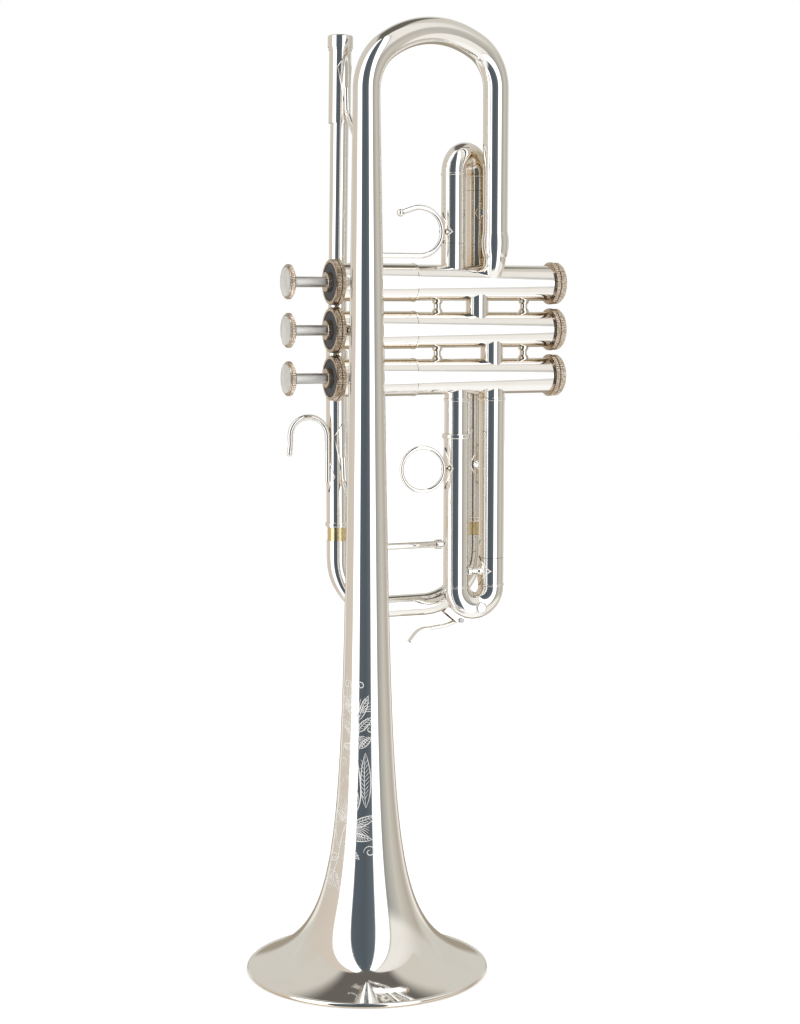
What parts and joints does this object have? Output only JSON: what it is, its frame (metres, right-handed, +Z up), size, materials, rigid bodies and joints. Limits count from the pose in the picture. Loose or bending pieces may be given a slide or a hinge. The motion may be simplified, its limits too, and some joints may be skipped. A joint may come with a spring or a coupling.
{
  "type": "trumpet",
  "caption": "Silver-plated piston-valve trumpet with flared bell, spring-returned valves, sliding tuning crooks, finger hooks and ring, water key and mouthpiece receiver.",
  "frame": {"origin": "centre of the bell mouth, on the plane the rim rests on", "axes": "+Z up along the bell axis, from the mouth towards the bow; +X along the valves from the finger buttons to the bottom caps; +Y from the bell towards the leadpipe"},
  "size_m": [0.1859, 0.1443, 0.4859],
  "materials": {
    "silver_plate": "silver plate over brass, polished",
    "bare_brass": "bare brass, satin",
    "nickel_alloy": "brushed nickel alloy",
    "spring_steel": "drawn steel wire",
    "pearl": "mother-of-pearl inlay, polished",
    "felt": "black felt",
    "cork": "cork"
  },
  "bodies": {
    "horn": {"bell": "silver_plate", "bell_rim_wire": "bare_brass", "bell_tail_elbow": "silver_plate", "mouthpiece_receiver": "silver_plate", "leadpipe": "silver_plate", "leadpipe_braces": "silver_plate", "bell_valve_brace": "silver_plate", "bell_tail_brace": "silver_plate", "slide_tube_brace": "silver_plate", "pinky_hook": "silver_plate", "main_slide_upper_outer": "silver_plate", "main_slide_lower_outer": "silver_plate", "valve_spacer_posts": "silver_plate", "crossover_tubes": "silver_plate", "valve_top_caps": "silver_plate", "valve_bottom_caps": "silver_plate", "valve_cap_felts": "felt", "valve_cap_corks": "cork", "valve_guides": "bare_brass", "valve_casing_1": "silver_plate", "valve_casing_2": "silver_plate", "valve_casing_3": "silver_plate", "third_slide_fixed_inner": "silver_plate", "third_slide_fixed_outer": "silver_plate", "first_slide_fixed": "silver_plate", "second_slide_fixed": "silver_plate"},
    "valve_1": {"piston_1": "nickel_alloy", "valve_stem_1": "nickel_alloy", "finger_button_1": "silver_plate", "button_pearl_1": "pearl", "valve_spring_1": "spring_steel"},
    "valve_2": {"piston_2": "nickel_alloy", "valve_stem_2": "nickel_alloy", "finger_button_2": "silver_plate", "button_pearl_2": "pearl", "valve_spring_2": "spring_steel"},
    "valve_3": {"piston_3": "nickel_alloy", "valve_stem_3": "nickel_alloy", "finger_button_3": "silver_plate", "button_pearl_3": "pearl", "valve_spring_3": "spring_steel"},
    "main_slide": {"main_slide_bow": "silver_plate", "main_slide_inners": "bare_brass", "main_slide_ferrules": "silver_plate", "main_slide_brace": "silver_plate", "water_key_saddle": "silver_plate", "water_key_screw": "nickel_alloy"},
    "water_key": {"water_key_lever": "silver_plate", "water_key_cork": "cork", "water_key_spring": "spring_steel"},
    "first_slide": {"first_slide_legs": "silver_plate", "first_slide_bow": "silver_plate", "first_slide_thumb_hook": "silver_plate"},
    "second_slide": {"second_slide_inners": "bare_brass", "second_slide_bow": "silver_plate"},
    "third_slide": {"third_slide_outer_sleeve": "silver_plate", "third_slide_inner_tube": "silver_plate", "third_slide_bow": "silver_plate", "third_slide_brace": "silver_plate", "third_slide_finger_ring": "silver_plate"}
  },
  "joints": [
    {"name": "valve_1_press", "type": "slide", "parent": "horn", "child": "valve_1", "axis": [1, 0, 0], "range_m": [0, 0.0165], "stiffness_N_per_m": 130, "springref_m": -0.012, "deforming": ["valve_spring_1"]},
    {"name": "valve_2_press", "type": "slide", "parent": "horn", "child": "valve_2", "axis": [1, 0, 0], "range_m": [0, 0.0165], "stiffness_N_per_m": 130, "springref_m": -0.012, "deforming": ["valve_spring_2"]},
    {"name": "valve_3_press", "type": "slide", "parent": "horn", "child": "valve_3", "axis": [1, 0, 0], "range_m": [0, 0.0165], "stiffness_N_per_m": 130, "springref_m": -0.012, "deforming": ["valve_spring_3"]},
    {"name": "main_slide_draw", "type": "slide", "parent": "horn", "child": "main_slide", "axis": [0, 0, -1], "range_m": [-0.0065, 0.045]},
    {"name": "water_key_lift", "type": "hinge", "parent": "main_slide", "child": "water_key", "pos_m": [0.0757, 0.053, 0.1693], "axis": [0, 1, 0], "range_deg": [0, 14], "stiffness_Nm_per_rad": 0.004, "springref_deg": -34.38},
    {"name": "first_slide_draw", "type": "slide", "parent": "horn", "child": "first_slide", "axis": [0, 0, 1], "range_m": [0, 0.025]},
    {"name": "second_slide_draw", "type": "slide", "parent": "horn", "child": "second_slide", "axis": [0, 1, 0], "range_m": [0, 0.009]},
    {"name": "third_slide_draw", "type": "slide", "parent": "horn", "child": "third_slide", "axis": [0, 0, -1], "range_m": [0, 0.04]}
  ]
}
